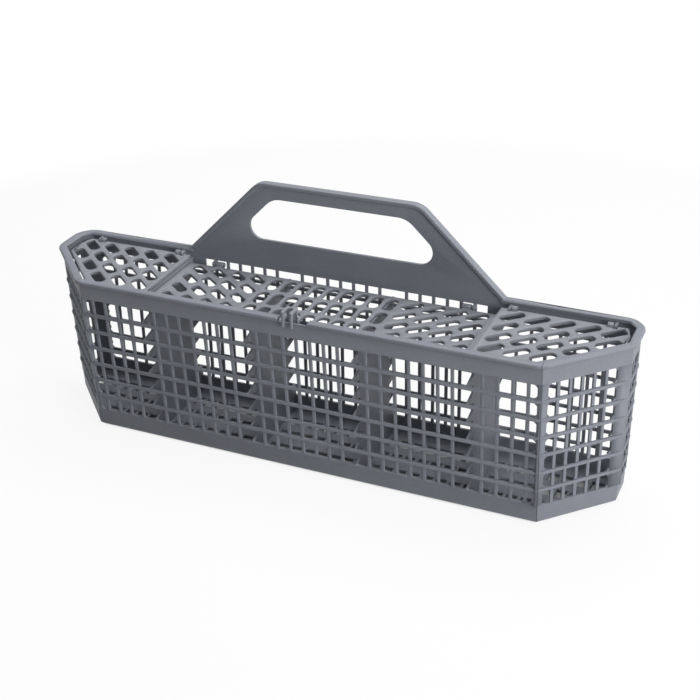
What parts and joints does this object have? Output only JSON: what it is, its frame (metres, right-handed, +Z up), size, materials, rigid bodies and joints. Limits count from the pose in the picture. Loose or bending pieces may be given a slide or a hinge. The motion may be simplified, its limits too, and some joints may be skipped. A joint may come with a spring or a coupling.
{
  "type": "dishwasher cutlery basket",
  "caption": "Long grey cutlery basket for a dishwasher: lattice walls with cut front corners, inner dividers, a carrying handle on the back wall and slotted lids that hinge open.",
  "frame": {"origin": "bottom centre of the overall box, on the underside of the floor", "axes": "+X along the basket, to the right seen from the front; +Y from the front wall to the handle side; +Z up"},
  "size_m": [0.5, 0.095, 0.21],
  "materials": {
    "grey_plastic": "satin grey moulded polypropylene"
  },
  "bodies": {
    "tub": {"basket_body": "grey_plastic"},
    "lid_left": {"left_lid": "grey_plastic"},
    "lid_centre": {"centre_lid": "grey_plastic"},
    "lid_right": {"right_lid": "grey_plastic"}
  },
  "joints": [
    {"name": "left_lid_hinge", "type": "hinge", "parent": "tub", "child": "lid_left", "pos_m": [-0.1859, 0.0376, 0.1368], "axis": [-1, 0, 0], "range_deg": [0, 110]},
    {"name": "centre_lid_hinge", "type": "hinge", "parent": "tub", "child": "lid_centre", "pos_m": [0, 0.0394, 0.1308], "axis": [-1, 0, 0], "range_deg": [0, 75]},
    {"name": "right_lid_hinge", "type": "hinge", "parent": "tub", "child": "lid_right", "pos_m": [0.1859, 0.0376, 0.1368], "axis": [-1, 0, 0], "range_deg": [0, 110]}
  ]
}
